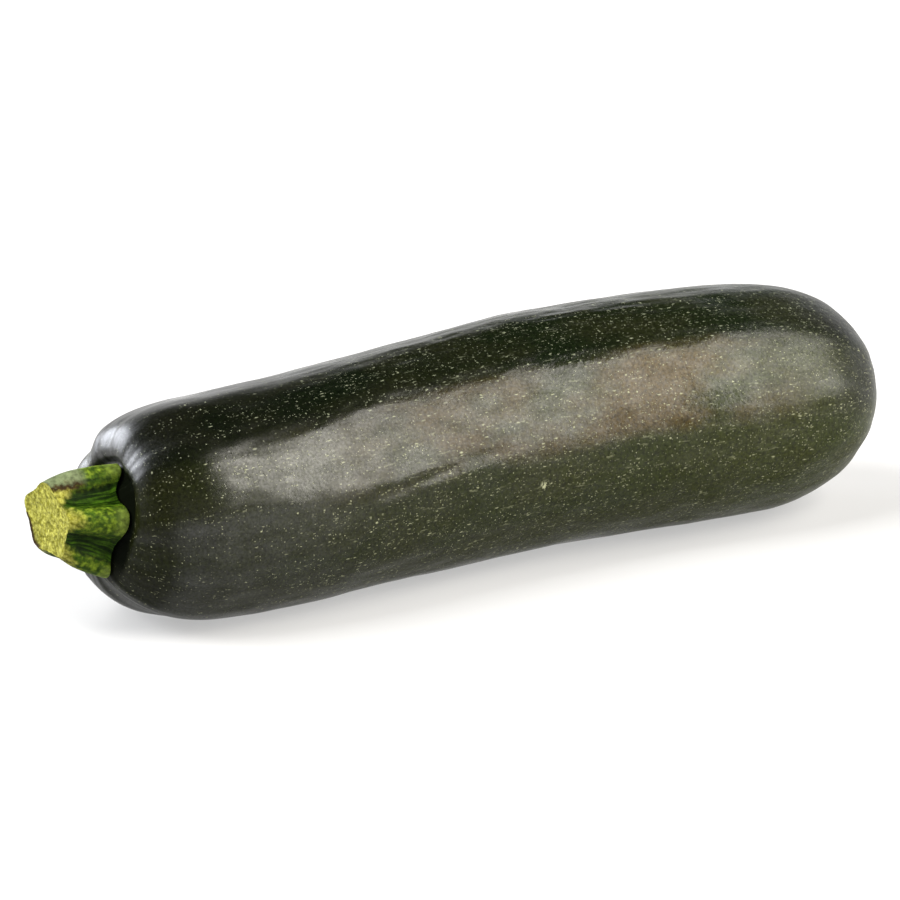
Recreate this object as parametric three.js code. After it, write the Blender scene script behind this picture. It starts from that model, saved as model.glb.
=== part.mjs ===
// A courgette as picked, lying on its side with the stub of its stalk at the -X end.
// Millimetres, +Z up. The fruit lies along X and rests on Z = 0.

import * as THREE from "three";

// The fruit: its length, its two rounded ends and its half thickness along the way.
const fruitLength = 185.5;
const shoulderLength = 25;
const shoulderFullness = 2.55;
const blossomEndLength = 31.5;
const blossomEndFullness = 2.3;
// Half thickness at even stations, from the stalk end to the blossom end.
const bodyRadii = [21.2, 22.9, 23.8, 24.3, 25, 25.4, 25.4, 24.6, 23.7];
// How far the middle line swings to the far side, at even stations.
const middleSwing = [-0.4, -2.8, 0.6, 2.2, -0.6, -1.5];
// How high the underside lies over the surface, at even stations.
const undersideLift = [1.8, 0.5, 0.1, 0, 0, 0, 0.1, 0.5, 1.3];
// How far the fruit is pressed flat where it rests.
const restingSink = 0.6;

// The seat of the stalk: the rounded end is flattened there, in a plane that leans back at its top
// and a little on the far side, and a moat runs round the foot, deepest towards its top. The whole
// shoulder is skewed, further out on the far side.
const seatDepth = 3.6;
const seatTilt = 0.3;
const seatSwing = 0.1;
const seatRounding = 1.5;
const moatRadius = 11.6;
const moatWidth = 1.7;
const moatDepth = 1.2;
const moatSwing = 1.2;
const moatTurn = THREE.MathUtils.degToRad(65);
const shoulderSkew = 0.13;

// The creases that run over the shoulder from beside each ridge of the stalk. They begin under the
// foot, are deepest at its edge and run out along the body.
const creaseCount = 5;
const creaseTurn = THREE.MathUtils.degToRad(-16);
const creaseDepth = 1.3;
const creaseStartRadius = 7;
const creaseFullRadius = 14;
const creaseReach = 34;
const creaseSharpness = 5;
// Very shallow ridges along the whole body, which fade out towards both tips.
const bodyRidgeCount = 10;
const bodyRidgeHeight = 0.16;
const bodyRidgeStartRadius = 10;
const bodyRidgeFullRadius = 20;

// The scar that the blossom left: a low ring round a small nub in a dimple.
const scarRadius = 4.8;
const scarRingWidth = 1.3;
const scarRingHeight = 0.7;
const scarDimpleDepth = 0.6;
const scarNubRadius = 1.3;
const scarNubHeight = 0.9;

// The stalk stub, from its foot on the shoulder to its cut end.
const stalkLength = 11.2;
const stalkRidgeTurn = THREE.MathUtils.degToRad(17);
const stalkCrestRadii = [11.6, 11.4, 11, 10.5, 9.6, 8];
const stalkGrooveRadii = [9.2, 8.5, 7.8, 7.3, 7, 6.8];
const stalkRidgeSharpness = 1.2;
// The upper ridges are a little thicker than the lower ones, and the whole stub leans.
const stalkTopHeaviness = 0.03;
const stalkLeanFar = -0.6;
const stalkLeanUp = 2.8;
// The knife went through at a slant, so the near side is shorter.
const cutSlant = 0.2;
// Its face has dried a little hollow, with a raised rim.
const cutFaceSink = 0.45;
const cutFaceSquareness = 4;
// The foot stays this far off the fruit under its middle and at its lobed edge.
const seatGap = 0.35;
const edgeGap = 0.8;
const edgeGapStart = 0.6;

// Smoothness of the meshes: rings lie closer together towards the scar and towards the foot's edge.
const stepsRound = 60;
const shoulderSteps = 15;
const bodySteps = 22;
const blossomEndSteps = 17;
const blossomEndBunching = 1.25;
const stalkSteps = 9;
const stalkBunching = 1.4;
const cutFaceRings = [0, 0.3, 0.6, 0.85];
const underFootRings = [0.93, 0.8, 0.6, 0.3, 0];

// A smooth value between even stations, for a share of the way from 0 to 1.
function atShare(stations, share) {
  const curve = new THREE.SplineCurve(stations.map((value, index) => new THREE.Vector2(index, value)));
  return curve.getPoint(share).y;
}

// A smooth step from 0 at one end to 1 at the other.
function fade(value, start, end) {
  const share = THREE.MathUtils.clamp((value - start) / (end - start), 0, 1);
  return share * share * (3 - 2 * share);
}

// The larger of two values, with the corner between them rounded off.
function smoothMax(first, second, rounding) {
  const apart = Math.abs(first - second) / rounding;
  return Math.max(first, second) + rounding * Math.log1p(Math.exp(-apart));
}

// A bell of height 1 round a middle value.
function bell(value, middle, width) {
  return Math.exp(-(((value - middle) / width) ** 2));
}

// 1 on the middle of each of several ridges round the section, 0 halfway between them.
function crest(turn, count) {
  return 0.5 + 0.5 * Math.cos(count * (turn - stalkRidgeTurn));
}

// How far the shoulder has closed in at a distance from the tip.
function capShare(distance, length, fullness) {
  const open = THREE.MathUtils.clamp(1 - distance / length, 0, 1);
  return (1 - open ** fullness) ** (1 / fullness);
}

// The half thickness of the plain, unbent fruit at a distance from its stalk end.
function plainRadius(distance) {
  const shoulder = capShare(distance, shoulderLength, shoulderFullness);
  const blossomEnd = capShare(fruitLength - distance, blossomEndLength, blossomEndFullness);
  return atShare(bodyRadii, distance / fruitLength) * shoulder * blossomEnd;
}

// The distance from the stalk end at which the shoulder has a given radius.
function shoulderDistance(radius) {
  const open = (1 - (radius / bodyRadii[0]) ** shoulderFullness) ** (1 / shoulderFullness);
  return shoulderLength * (1 - open);
}

// A point of the finished fruit, from a point of the plain one.
function fruitPoint(distance, radius, turn) {
  const share = distance / fruitLength;
  const nearStalk = distance < fruitLength / 2 ? 1 : 0;

  const creases = (1 - crest(turn - creaseTurn, creaseCount)) ** creaseSharpness;
  const creaseFade = fade(distance, creaseReach, 0) * fade(radius, creaseStartRadius, creaseFullRadius);
  const ridges = Math.cos(bodyRidgeCount * (turn - stalkRidgeTurn));
  const ridgeHeight = bodyRidgeHeight * fade(radius, bodyRidgeStartRadius, bodyRidgeFullRadius);
  const round = radius - creaseDepth * creases * creaseFade + ridgeHeight * ridges;

  const seat = seatDepth + radius * (seatTilt * Math.sin(turn) + seatSwing * Math.cos(turn));
  const moatHere = moatDepth + moatSwing * Math.cos(turn - moatTurn);
  const moat = nearStalk * moatHere * bell(radius, moatRadius, moatWidth);
  const skew = shoulderSkew * radius * Math.cos(turn) * fade(distance, shoulderLength, seatDepth);
  const ring = scarRingHeight * bell(radius, scarRadius, scarRingWidth);
  const nub = scarNubHeight * bell(radius, 0, scarNubRadius);
  const dimple = scarDimpleDepth * bell(radius, 0, scarRadius);
  const scar = (1 - nearStalk) * (ring + nub - dimple);

  const middleY = atShare(middleSwing, share);
  const middleZ = atShare(bodyRadii, share) + atShare(undersideLift, share) - restingSink;
  return new THREE.Vector3(
    smoothMax(distance, seat, seatRounding) + moat + scar - skew,
    middleY + round * Math.cos(turn),
    Math.max(0, middleZ + round * Math.sin(turn)),
  );
}

// Turns a profile round its axis and moves every vertex to where a formula puts it.
function shapedLathe(profile, pointOf) {
  const geometry = new THREE.LatheGeometry(profile, stepsRound);
  const position = geometry.attributes.position;
  for (let index = 0; index < position.count; index++) {
    const ring = index % profile.length;
    const turn = (2 * Math.PI * Math.floor(index / profile.length)) / stepsRound;
    const point = pointOf(profile[ring], turn, ring);
    position.setXYZ(index, point.x, point.y, point.z);
  }
  geometry.deleteAttribute("uv");
  geometry.computeVertexNormals();
  return geometry;
}

// The fruit's profile: closely spaced rings round the two ends, even ones between.
function fruitProfile() {
  const distances = [];
  for (let step = 0; step < shoulderSteps; step++) {
    const angle = (Math.PI / 2) * (step / shoulderSteps);
    distances.push(shoulderLength * (1 - Math.cos(angle) ** (2 / shoulderFullness)));
  }
  const bodyLength = fruitLength - shoulderLength - blossomEndLength;
  for (let step = 0; step < bodySteps; step++) {
    distances.push(shoulderLength + (bodyLength * step) / bodySteps);
  }
  for (let step = blossomEndSteps; step >= 0; step--) {
    const angle = (Math.PI / 2) * (step / blossomEndSteps) ** blossomEndBunching;
    const toTip = blossomEndLength * (1 - Math.cos(angle) ** (2 / blossomEndFullness));
    distances.push(fruitLength - toTip);
  }
  return distances.map((distance) => new THREE.Vector2(plainRadius(distance), distance));
}

function fruitGeometry() {
  return shapedLathe(fruitProfile(), (place, turn) => fruitPoint(place.y, place.x, turn));
}

// The stalk's radius round its section, at a share of the way from foot to cut.
function stalkRadius(share, turn) {
  const ridge = crest(turn, creaseCount) ** stalkRidgeSharpness;
  const groove = atShare(stalkGrooveRadii, share);
  const radius = groove + (atShare(stalkCrestRadii, share) - groove) * ridge;
  return radius * (1 + stalkTopHeaviness * Math.sin(turn));
}

// A point of the foot's underside, held off the shoulder that it sits on.
function underFootPoint(radiusShare, turn) {
  const radius = radiusShare * stalkRadius(0, turn);
  const gap = seatGap + (edgeGap - seatGap) * fade(radiusShare, edgeGapStart, 1);
  const point = fruitPoint(shoulderDistance(radius), radius, turn);
  point.x -= gap;
  return point;
}

// A point of the stalk's side, or of its cut face where the radius share is under 1.
function stalkPoint(share, radiusShare, turn) {
  const foot = underFootPoint(1, turn);
  const radius = radiusShare * stalkRadius(share, turn);
  const across = radius * Math.cos(turn);
  const sink = cutFaceSink * (1 - radiusShare ** cutFaceSquareness);
  const cutX = seatDepth - stalkLength - cutSlant * across + sink;
  const footCentre = underFootPoint(0, 0);
  return new THREE.Vector3(
    THREE.MathUtils.lerp(foot.x, cutX, share),
    footCentre.y + stalkLeanFar * share + across,
    footCentre.z + stalkLeanUp * share + radius * Math.sin(turn),
  );
}

// The stalk's rings run from the middle of the cut face, over its rim and down the side,
// round the lobed edge of the foot and in under it to the middle.
function stalkGeometry() {
  const rings = [];
  for (const radiusShare of cutFaceRings) {
    rings.push((turn) => stalkPoint(1, radiusShare, turn));
  }
  for (let step = stalkSteps; step >= 0; step--) {
    rings.push((turn) => stalkPoint((step / stalkSteps) ** stalkBunching, 1, turn));
  }
  for (const radiusShare of underFootRings) {
    rings.push((turn) => underFootPoint(radiusShare, turn));
  }
  const last = rings.length - 1;
  const profile = rings.map((ring, index) => {
    return new THREE.Vector2(Math.sin((Math.PI * index) / last), index);
  });
  profile[0].x = 0;
  profile[last].x = 0;
  return shapedLathe(profile, (place, turn, ring) => rings[ring](turn));
}

const fruit = new THREE.Mesh(
  fruitGeometry(),
  new THREE.MeshStandardMaterial({ color: 0x2f3a22, roughness: 0.32, metalness: 0 }),
);
fruit.name = "fruit";

const stem = new THREE.Mesh(
  stalkGeometry(),
  new THREE.MeshStandardMaterial({ color: 0x84a040, roughness: 0.7, metalness: 0 }),
);
stem.name = "stem";

const courgette = new THREE.Group();
courgette.name = "courgette";
courgette.add(fruit, stem);

// The origin goes under the middle of the whole, on the surface that it rests on.
const bounds = new THREE.Box3().setFromObject(courgette);
const middle = bounds.getCenter(new THREE.Vector3());
for (const piece of courgette.children) {
  piece.geometry.translate(-middle.x, -middle.y, -bounds.min.z);
}

export default courgette;
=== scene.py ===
import math

import bpy
import numpy
from mathutils import Matrix, Vector


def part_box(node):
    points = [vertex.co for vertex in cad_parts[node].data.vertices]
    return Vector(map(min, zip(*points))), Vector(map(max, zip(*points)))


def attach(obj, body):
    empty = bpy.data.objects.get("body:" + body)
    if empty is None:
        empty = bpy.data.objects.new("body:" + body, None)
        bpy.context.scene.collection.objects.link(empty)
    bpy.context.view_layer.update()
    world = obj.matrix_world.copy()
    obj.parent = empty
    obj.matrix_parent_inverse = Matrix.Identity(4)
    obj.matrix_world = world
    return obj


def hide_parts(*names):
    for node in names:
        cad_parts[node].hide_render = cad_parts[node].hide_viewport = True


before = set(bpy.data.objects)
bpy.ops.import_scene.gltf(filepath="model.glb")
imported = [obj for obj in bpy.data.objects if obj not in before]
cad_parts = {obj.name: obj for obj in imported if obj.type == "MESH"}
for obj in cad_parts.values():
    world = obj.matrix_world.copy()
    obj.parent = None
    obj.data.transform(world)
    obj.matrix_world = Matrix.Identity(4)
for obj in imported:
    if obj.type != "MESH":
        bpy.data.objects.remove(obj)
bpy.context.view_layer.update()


# The white light table that the courgette lies on.
# A matt sheet of opal acrylic, far wider than the camera sees, which lamps under it make glow a little.


def linear(hex_colour):
    """An sRGB colour such as "#2f3a22" in the linear values that Blender works in."""
    channels = [int(hex_colour[place : place + 2], 16) / 255 for place in (1, 3, 5)]
    return tuple(c / 12.92 if c <= 0.04045 else ((c + 0.055) / 1.055) ** 2.4 for c in channels) + (1.0,)


def add(tree, kind, *inputs, named=None, **settings):
    """Adds a node with its settings. Its inputs are given in order or by name: a socket, a node, which
    stands for its first output, or a plain value. None leaves an input as it is."""
    node = tree.nodes.new(kind)
    for setting, value in settings.items():
        setattr(node, setting, value)
    in_use = [socket for socket in node.inputs if socket.enabled]
    pairs = list(zip(in_use, inputs))
    pairs += [(node.inputs[name], value) for name, value in (named or {}).items()]
    for socket, value in pairs:
        if isinstance(value, bpy.types.Node):
            value = next(output for output in value.outputs if output.enabled)
        if isinstance(value, bpy.types.NodeSocket):
            tree.links.new(value, socket)
        elif value is not None:
            socket.default_value = value
    return node


# Opal acrylic, sanded matt: part of its white is its own glow, so shadows on it stay soft and pale.
opal_acrylic = bpy.data.materials.new("glowing_opal_acrylic")
opal_acrylic.use_nodes = True
acrylic_tree = opal_acrylic.node_tree
acrylic_tree.nodes.clear()
acrylic = add(
    acrylic_tree,
    "ShaderNodeBsdfPrincipled",
    named={
        "Base Color": linear("#888888"),
        "Roughness": 0.9,
        "Specular IOR Level": 0.1,
        "Emission Color": linear("#ffffff"),
        "Emission Strength": 0.44,
    },
)
add(acrylic_tree, "ShaderNodeOutputMaterial", acrylic)

board_half_side = 4.0
board_mesh = bpy.data.meshes.new("board")
board_corners = [
    (x * board_half_side, y * board_half_side, 0) for x, y in ((-1, -1), (1, -1), (1, 1), (-1, 1))
]
board_mesh.from_pydata(board_corners, [], [(0, 1, 2, 3)])
board_mesh.materials.append(opal_acrylic)
board = bpy.data.objects.new("board", board_mesh)
bpy.context.collection.objects.link(board)


# The camera, a long lens looking down on the courgette from beyond its stalk end.
scene = bpy.context.scene
scene.view_settings.view_transform = "Standard"
aim = Vector((-0.00342, 0.0002, 0.024))
camera_azimuth = math.radians(-28)
camera_elevation = math.radians(20)
camera_distance = 0.9


def direction(azimuth, elevation):
    """The way from the courgette to something that stands at these angles round it."""
    level = math.cos(elevation)
    return Vector((math.sin(azimuth) * level, -math.cos(azimuth) * level, math.sin(elevation)))


lens = bpy.data.cameras.new("camera")
lens.sensor_width = 36
lens.lens = 171
camera = bpy.data.objects.new("camera", lens)
bpy.context.collection.objects.link(camera)
camera.location = aim + direction(camera_azimuth, camera_elevation) * camera_distance
camera.rotation_euler = (camera.location - aim).to_track_quat("Z", "Y").to_euler()
scene.camera = camera


# The lamps: a tall soft box on the near right, which gives the broad band of sheen, a window on the far
# left, which gives the shoulder its sheen, and a lamp high up on the left that lights the table. The
# last one shines through a polariser, so it doesn't show in the wax.
def soft_lamp(name, azimuth, elevation, distance, width, height, brightness, colour):
    """An area lamp that faces the courgette. Its brightness is that of its face, where 1 is white."""
    light = bpy.data.lights.new(name, "AREA")
    light.shape = "RECTANGLE"
    light.size = width
    light.size_y = height
    light.energy = brightness * 4 * width * height
    light.color = linear(colour)[:3]
    lamp = bpy.data.objects.new(name, light)
    bpy.context.collection.objects.link(lamp)
    way = direction(math.radians(azimuth), math.radians(elevation))
    lamp.location = aim + way * distance
    lamp.rotation_euler = way.to_track_quat("Z", "Y").to_euler()
    lamp.visible_camera = False
    return lamp


soft_lamp("side soft box", 46.5, 31, 2.4, 2.2, 2.9, 8.2, "#fffaf1")
soft_lamp("far window", -148, 13, 2.8, 1.6, 1.2, 11, "#f2f6ff")
high_lamp = soft_lamp("high lamp", -103, 51, 2.8, 1.9, 1.9, 14.6, "#ffffff")
high_lamp.visible_glossy = False

# The room: pale low down beyond the courgette, and dark overhead and on the camera's side.
room = bpy.data.worlds.new("room")
scene.world = room
room.use_nodes = True
room_tree = room.node_tree
room_tree.nodes.clear()
room_dark = 0.03
room_pale = 1.4
camera_side_share = 0.15
room_way = add(room_tree, "ShaderNodeTexCoord").outputs["Generated"]
room_light = add(
    room_tree,
    "ShaderNodeMapRange",
    add(room_tree, "ShaderNodeSeparateXYZ", room_way).outputs["Z"],
    math.sin(math.radians(40)),
    math.sin(math.radians(8)),
    room_dark,
    room_pale,
    interpolation_type="SMOOTHSTEP",
)
beyond = add(room_tree, "ShaderNodeVectorMath", room_way, (0.5, 0.86, 0), operation="DOT_PRODUCT")
beyond = add(
    room_tree, "ShaderNodeMapRange", beyond.outputs["Value"], -0.5, 0.3, camera_side_share, 1.0
)
room_light = add(room_tree, "ShaderNodeMath", room_light, beyond, operation="MULTIPLY")
room_shade = add(room_tree, "ShaderNodeBackground", linear("#ffffff"), room_light)
add(room_tree, "ShaderNodeOutputWorld", room_shade)


# The fruit, one grown body of firm pale flesh inside a thin dark green skin, with a flattened seat for
# the stalk and a scar at its rounded blossom end. It lies loose on a slight flat. It is made as rings
# round its middle line, from its length, its girths and the roundness of its two ends.
fruit_sizes = {
    "Length": 0.1855,
    "Shoulder Length": 0.025,
    "Shoulder Fullness": 2.55,
    "Blossom End Length": 0.0315,
    "Blossom End Fullness": 2.3,
    "Resting Sink": 0.0006,
    "Ridge Turn": math.radians(17),
    "Crease Turn": math.radians(-16),
    "Crease Depth": 0.0013,
    "Crease Reach": 0.034,
    "Seat Depth": 0.0036,
    "Seat Tilt": 0.3,
    "Seat Swing": 0.1,
    "Seat Rounding": 0.0062,
    "Moat Radius": 0.0116,
    "Moat Width": 0.0017,
    "Moat Depth": 0.0012,
    "Moat Swing": 0.0012,
    "Moat Turn": math.radians(65),
    "Shoulder Skew": 0.13,
    "Scar Radius": 0.0048,
}
# At even stations from the stalk end to the blossom end: half thickness, how far the middle line
# swings to the far side, and how high the underside lies.
body_radii = [0.0212, 0.0229, 0.0238, 0.0243, 0.025, 0.0254, 0.0254, 0.0246, 0.0237]
middle_swing = [-0.0004, -0.0028, 0.0006, 0.0022, -0.0006, -0.0015]
underside_lift = [0.0018, 0.0005, 0.0001, 0, 0, 0, 0.0001, 0.0005, 0.0013]
crease_count = 5
ridge_count = 10
ridge_height = 0.00016


def tree_with_inputs(name, sizes, extra):
    """A new geometry tree with a named input for each size, and its group input node."""
    tree = bpy.data.node_groups.new(name, "GeometryNodeTree")
    for socket_name, value in sizes.items():
        socket = tree.interface.new_socket(socket_name, in_out="INPUT", socket_type="NodeSocketFloat")
        socket.default_value = value
    for socket_name, kind in extra.items():
        tree.interface.new_socket(socket_name, in_out="INPUT", socket_type=kind)
    return tree, add(tree, "NodeGroupInput")


def station_curve(tree, stations, share):
    """A smooth value between even stations, at a share of the way from 0 to 1."""
    node = add(tree, "ShaderNodeFloatCurve", 1.0, share)
    mapping = node.mapping
    mapping.use_clip = False
    curve = mapping.curves[0]
    for _ in stations[2:]:
        curve.points.new(0.5, 0)
    for index, value in enumerate(stations):
        curve.points[index].location = (index / (len(stations) - 1), value / station_unit)
    mapping.update()
    return add(tree, "ShaderNodeMath", node, station_unit, operation="MULTIPLY")


# The curves' values are held as shares of this half thickness.
station_unit = 0.03


def bell(tree, value, middle, width):
    """A bell of height 1 round a middle value."""
    off = add(tree, "ShaderNodeMath", value, middle, operation="SUBTRACT")
    off = add(tree, "ShaderNodeMath", off, width, operation="DIVIDE")
    off = add(tree, "ShaderNodeMath", off, 2, operation="POWER")
    off = add(tree, "ShaderNodeMath", off, -1, operation="MULTIPLY")
    return add(tree, "ShaderNodeMath", off, operation="EXPONENT")


def fade(tree, value, start, end):
    """A smooth step from 0 at the start to 1 at the end."""
    return add(tree, "ShaderNodeMapRange", value, start, end, 0.0, 1.0, interpolation_type="SMOOTHSTEP")


# A point of the skin, from its distance, its radius and its turn on a plain round fruit.
surface_tree, size = tree_with_inputs(
    "point of the skin",
    fruit_sizes,
    dict.fromkeys(("Distance", "Radius", "Turn", "Relief"), "NodeSocketFloat"),
)
surface_tree.interface.new_socket("Point", in_out="OUTPUT", socket_type="NodeSocketVector")
t = surface_tree
size = size.outputs
cosine = add(t, "ShaderNodeMath", size["Turn"], operation="COSINE")
sine = add(t, "ShaderNodeMath", size["Turn"], operation="SINE")
share = add(t, "ShaderNodeMath", size["Distance"], size["Length"], operation="DIVIDE")
near_stalk = add(t, "ShaderNodeMath", share, 0.5, operation="LESS_THAN")
near_blossom = add(t, "ShaderNodeMath", 1.0, near_stalk, operation="SUBTRACT")

# Five creases run over the shoulder, and ten faint ridges along the whole body.
ridge_phase = add(t, "ShaderNodeMath", size["Turn"], size["Ridge Turn"], operation="SUBTRACT")
crease_phase = add(t, "ShaderNodeMath", ridge_phase, size["Crease Turn"], operation="SUBTRACT")
crease_phase = add(t, "ShaderNodeMath", crease_phase, crease_count, operation="MULTIPLY")
creases = add(t, "ShaderNodeMath", crease_phase, operation="COSINE")
creases = add(t, "ShaderNodeMath", creases, -0.5, 0.5, operation="MULTIPLY_ADD")
creases = add(t, "ShaderNodeMath", creases, 5.0, operation="POWER")
crease_fade = fade(t, size["Distance"], size["Crease Reach"], 0.0)
creases = add(t, "ShaderNodeMath", creases, crease_fade, operation="MULTIPLY")
crease_start = fade(t, size["Radius"], 0.007, 0.014)
creases = add(t, "ShaderNodeMath", creases, crease_start, operation="MULTIPLY")
creases = add(t, "ShaderNodeMath", creases, size["Crease Depth"], operation="MULTIPLY")
ridges = add(t, "ShaderNodeMath", ridge_phase, ridge_count, operation="MULTIPLY")
ridges = add(t, "ShaderNodeMath", ridges, operation="COSINE")
ridges = add(t, "ShaderNodeMath", ridges, fade(t, size["Radius"], 0.01, 0.02), operation="MULTIPLY")
ridges = add(t, "ShaderNodeMath", ridges, ridge_height, operation="MULTIPLY")
round_radius = add(t, "ShaderNodeMath", size["Radius"], creases, operation="SUBTRACT")
round_radius = add(t, "ShaderNodeMath", round_radius, ridges, operation="ADD")
round_radius = add(t, "ShaderNodeMath", round_radius, size["Relief"], operation="ADD")

# The seat of the stalk is flattened and tilted, a moat runs round it, and the shoulder is skewed.
upwards = add(t, "ShaderNodeMath", size["Radius"], sine, operation="MULTIPLY")
outwards = add(t, "ShaderNodeMath", size["Radius"], cosine, operation="MULTIPLY")
seat = add(t, "ShaderNodeMath", upwards, size["Seat Tilt"], size["Seat Depth"], operation="MULTIPLY_ADD")
seat = add(t, "ShaderNodeMath", outwards, size["Seat Swing"], seat, operation="MULTIPLY_ADD")
place = add(t, "ShaderNodeMath", size["Distance"], seat, size["Seat Rounding"], operation="SMOOTH_MAX")
moat = bell(t, size["Radius"], size["Moat Radius"], size["Moat Width"])
moat = add(t, "ShaderNodeMath", moat, near_stalk, operation="MULTIPLY")
moat_depth = add(t, "ShaderNodeMath", size["Turn"], size["Moat Turn"], operation="SUBTRACT")
moat_depth = add(t, "ShaderNodeMath", moat_depth, operation="COSINE")
moat_depth = add(
    t, "ShaderNodeMath", moat_depth, size["Moat Swing"], size["Moat Depth"], operation="MULTIPLY_ADD"
)
place = add(t, "ShaderNodeMath", moat, moat_depth, place, operation="MULTIPLY_ADD")
skew = add(t, "ShaderNodeMath", outwards, size["Shoulder Skew"], operation="MULTIPLY")
skew_fade = fade(t, size["Distance"], size["Shoulder Length"], size["Seat Depth"])
skew = add(t, "ShaderNodeMath", skew, skew_fade, operation="MULTIPLY")
place = add(t, "ShaderNodeMath", place, skew, operation="SUBTRACT")

# The scar of the blossom is a low ring round a nub in a dimple.
ring_width = 0.0013
ring_height = 0.0007
nub_height = 0.0009
dimple_depth = 0.0006
ring = bell(t, size["Radius"], size["Scar Radius"], ring_width)
ring = add(t, "ShaderNodeMath", ring, ring_height, operation="MULTIPLY")
nub = bell(t, size["Radius"], 0.0, ring_width)
scar = add(t, "ShaderNodeMath", nub, nub_height, ring, operation="MULTIPLY_ADD")
dimple = bell(t, size["Radius"], 0.0, size["Scar Radius"])
scar = add(t, "ShaderNodeMath", dimple, -dimple_depth, scar, operation="MULTIPLY_ADD")
place = add(t, "ShaderNodeMath", scar, near_blossom, place, operation="MULTIPLY_ADD")

across = station_curve(t, middle_swing, share)
across = add(t, "ShaderNodeMath", round_radius, cosine, across, operation="MULTIPLY_ADD")
middle_height = station_curve(t, body_radii, share)
lift = station_curve(t, underside_lift, share)
middle_height = add(t, "ShaderNodeMath", middle_height, lift, operation="ADD")
middle_height = add(t, "ShaderNodeMath", middle_height, size["Resting Sink"], operation="SUBTRACT")
above = add(t, "ShaderNodeMath", round_radius, sine, middle_height, operation="MULTIPLY_ADD")
above = add(t, "ShaderNodeMath", above, 0.0, operation="MAXIMUM")
add(t, "NodeGroupOutput", add(t, "ShaderNodeCombineXYZ", place, across, above))

# The whole skin: rings close together round the two ends and even ones between.
shoulder_rings = 58
body_rings = 212
blossom_rings = 72
steps_round = 288
mean_radius = 0.0245
fruit_tree, size = tree_with_inputs("grow the fruit", fruit_sizes, {"Material": "NodeSocketMaterial"})
fruit_tree.interface.new_socket("Geometry", in_out="OUTPUT", socket_type="NodeSocketGeometry")
t = fruit_tree
size = size.outputs


def grid_of_rings(tree, ring_count, steps_round):
    """A flat grid that is bent into rings, with each point's ring number and its turn in radians."""
    grid = add(tree, "GeometryNodeMeshGrid", 1.0, 1.0, ring_count + 1, steps_round + 1)
    flat = add(tree, "ShaderNodeSeparateXYZ", add(tree, "GeometryNodeInputPosition")).outputs
    ring_number = add(
        tree, "ShaderNodeMath", flat["X"], ring_count, ring_count / 2, operation="MULTIPLY_ADD"
    )
    turn = add(tree, "ShaderNodeMath", flat["Y"], math.tau, math.pi, operation="MULTIPLY_ADD")
    return grid.outputs["Mesh"], ring_number, turn


body_end = shoulder_rings + body_rings
ring_count = body_end + blossom_rings
grid, ring_number, turn = grid_of_rings(t, ring_count, steps_round)
quarter = math.pi / 2
shoulder_angle = add(t, "ShaderNodeMapRange", ring_number, 0.0, shoulder_rings, 0.0, quarter)
body_share = add(t, "ShaderNodeMapRange", ring_number, shoulder_rings, body_end, 0.0, 1.0)
blossom_share = add(t, "ShaderNodeMapRange", ring_number, ring_count, body_end, 0.0, 1.0)
blossom_angle = add(t, "ShaderNodeMath", blossom_share, 1.25, operation="POWER")
blossom_angle = add(t, "ShaderNodeMath", blossom_angle, quarter, operation="MULTIPLY")


def power_of(tree, angle, operation, fullness):
    """The sine or cosine of an angle, to the power that rounds an end of this fullness."""
    exponent = add(tree, "ShaderNodeMath", 2.0, fullness, operation="DIVIDE")
    value = add(tree, "ShaderNodeMath", angle, operation=operation)
    return add(tree, "ShaderNodeMath", value, exponent, operation="POWER")


shoulder_open = power_of(t, shoulder_angle, "COSINE", size["Shoulder Fullness"])
shoulder_closed = add(t, "ShaderNodeMath", 1.0, shoulder_open, operation="SUBTRACT")
distance = add(t, "ShaderNodeMath", shoulder_closed, size["Shoulder Length"], operation="MULTIPLY")
body_length = add(t, "ShaderNodeMath", size["Length"], size["Shoulder Length"], operation="SUBTRACT")
body_length = add(t, "ShaderNodeMath", body_length, size["Blossom End Length"], operation="SUBTRACT")
distance = add(t, "ShaderNodeMath", body_share, body_length, distance, operation="MULTIPLY_ADD")
blossom_open = power_of(t, blossom_angle, "COSINE", size["Blossom End Fullness"])
distance = add(
    t, "ShaderNodeMath", blossom_open, size["Blossom End Length"], distance, operation="MULTIPLY_ADD"
)
share = add(t, "ShaderNodeMath", distance, size["Length"], operation="DIVIDE")
radius = station_curve(t, body_radii, share)
shoulder_round = power_of(t, shoulder_angle, "SINE", size["Shoulder Fullness"])
blossom_round = power_of(t, blossom_angle, "SINE", size["Blossom End Fullness"])
radius = add(t, "ShaderNodeMath", radius, shoulder_round, operation="MULTIPLY")
radius = add(t, "ShaderNodeMath", radius, blossom_round, operation="MULTIPLY")

# The grain that the skin's lumps, wrinkles and streaks follow: along the fruit and round it.
cosine = add(t, "ShaderNodeMath", turn, operation="COSINE")
sine = add(t, "ShaderNodeMath", turn, operation="SINE")
grain_y = add(t, "ShaderNodeMath", cosine, mean_radius, operation="MULTIPLY")
grain_z = add(t, "ShaderNodeMath", sine, mean_radius, operation="MULTIPLY")
grain = add(t, "ShaderNodeCombineXYZ", distance, grain_y, grain_z)


def stretch(tree, vector, length, width):
    """Coordinates in which a patch of this length and width measures 1 each way."""
    return add(tree, "ShaderNodeVectorMath", vector, (1 / length, 1 / width, 1 / width), operation="MULTIPLY")


def relief_noise(tree, grain, length, width, detail, height):
    """Low relief, either way from the surface, whose lumps have this length and width."""
    noise = add(tree, "ShaderNodeTexNoise", stretch(tree, grain, length, width), 1.0, detail)
    return add(tree, "ShaderNodeMath", noise, 2 * height, -height, operation="MULTIPLY_ADD")


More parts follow.
